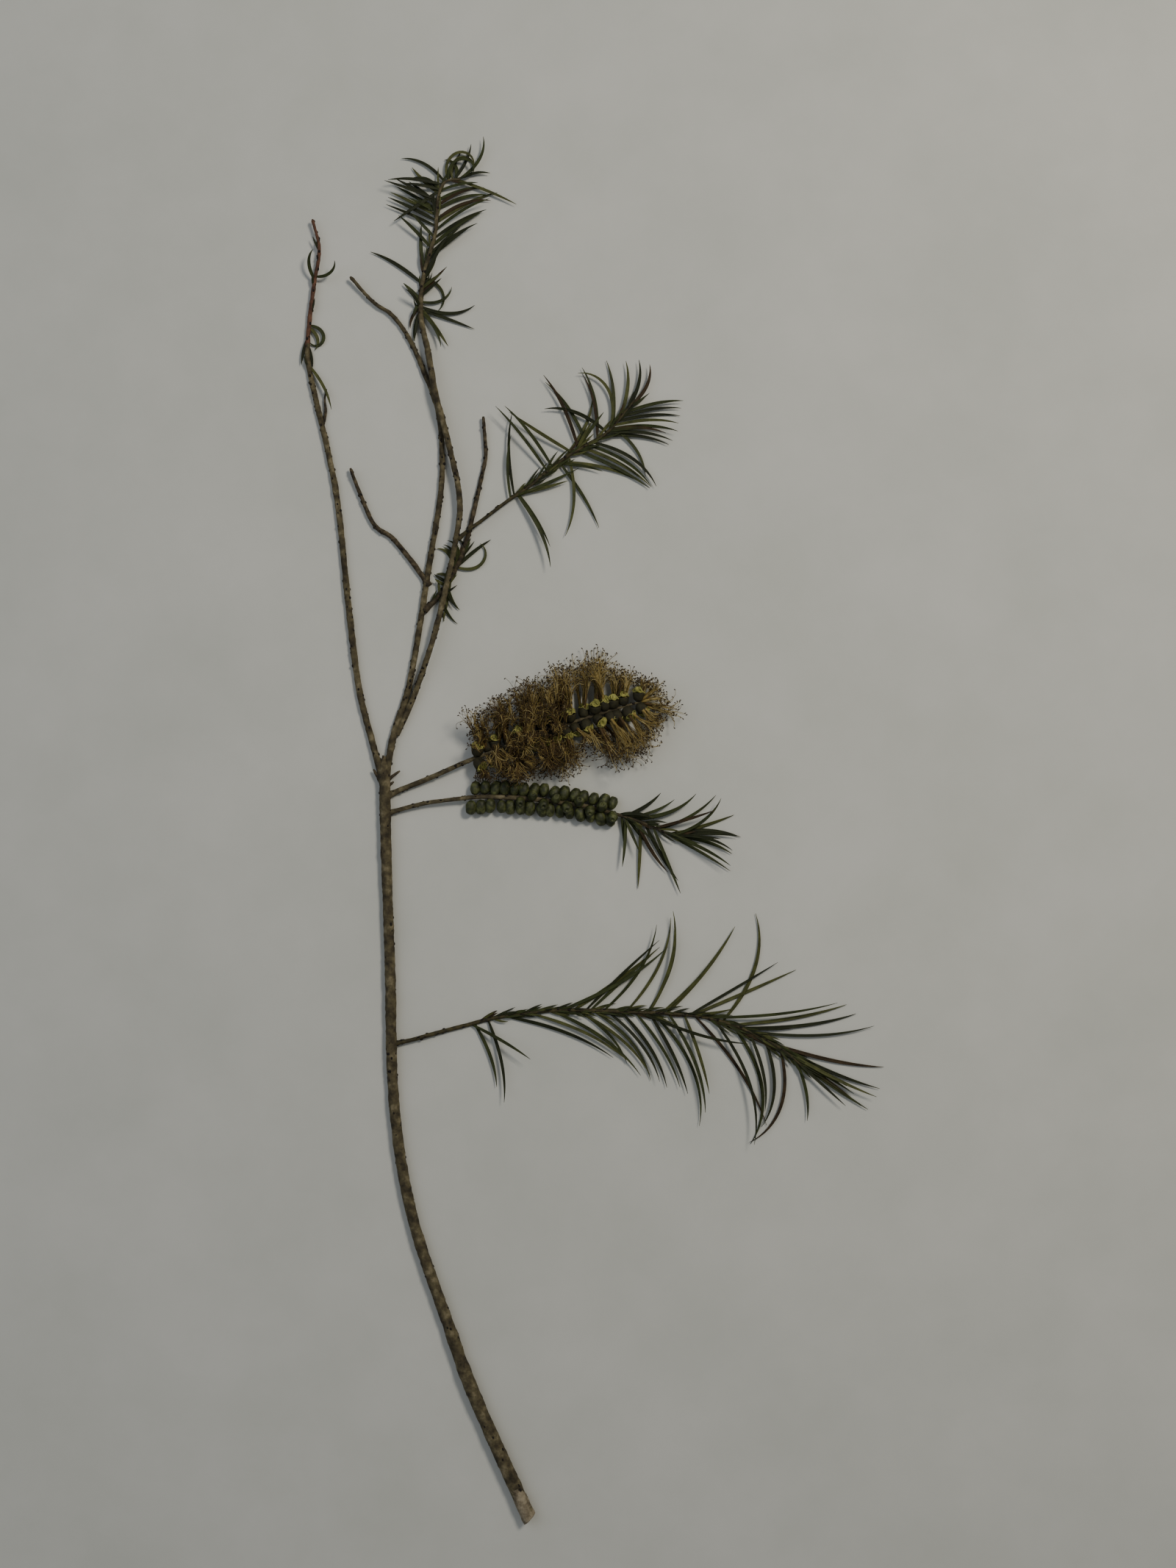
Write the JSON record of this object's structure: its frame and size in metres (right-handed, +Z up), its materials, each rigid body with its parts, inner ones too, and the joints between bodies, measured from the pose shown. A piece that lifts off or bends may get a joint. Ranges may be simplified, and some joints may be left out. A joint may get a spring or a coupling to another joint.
{
  "type": "cut flowering branch",
  "caption": "Dried cut branch of a narrow-leaved flowering shrub lying flat, with forked limbs, leafy shoots, a brush-like flower spike and a spike of seed capsules.",
  "frame": {"origin": "middle of the branch's bounding box in X and Y, on the level surface it lies on", "axes": "+Y from the cut foot to the shoot tips, +X to the right seen from above, +Z up from the surface it lies on"},
  "size_m": [0.1463, 0.3481, 0.0076],
  "materials": {
    "bark": "dry grey bark with scaly flakes and leaf scars",
    "twig": "dark brown dry bark of young twigs",
    "leaf": "dull dark olive dried leaves",
    "blossom": "matte golden tan dried stamens",
    "capsule": "dull dark olive dried seed capsules"
  },
  "bodies": {
    "root": {"main_stem": "bark", "left_limb": "bark", "middle_limb": "bark", "right_limb": "bark", "left_side_twig": "twig", "upright_twig": "twig", "middle_shoot_stem": "twig", "flower_stalk": "twig", "fruit_stalk": "twig", "lower_shoot_stem": "twig", "left_spur": "twig", "fork_stub": "twig", "fork_bud": "twig", "left_tip_foliage": "leaf", "top_foliage": "leaf", "knot_foliage": "leaf", "middle_foliage": "leaf", "fruit_shoot_foliage": "leaf", "lower_foliage": "leaf", "flower_spike": "blossom", "fruit_spike": "capsule"}
  },
  "joints": []
}
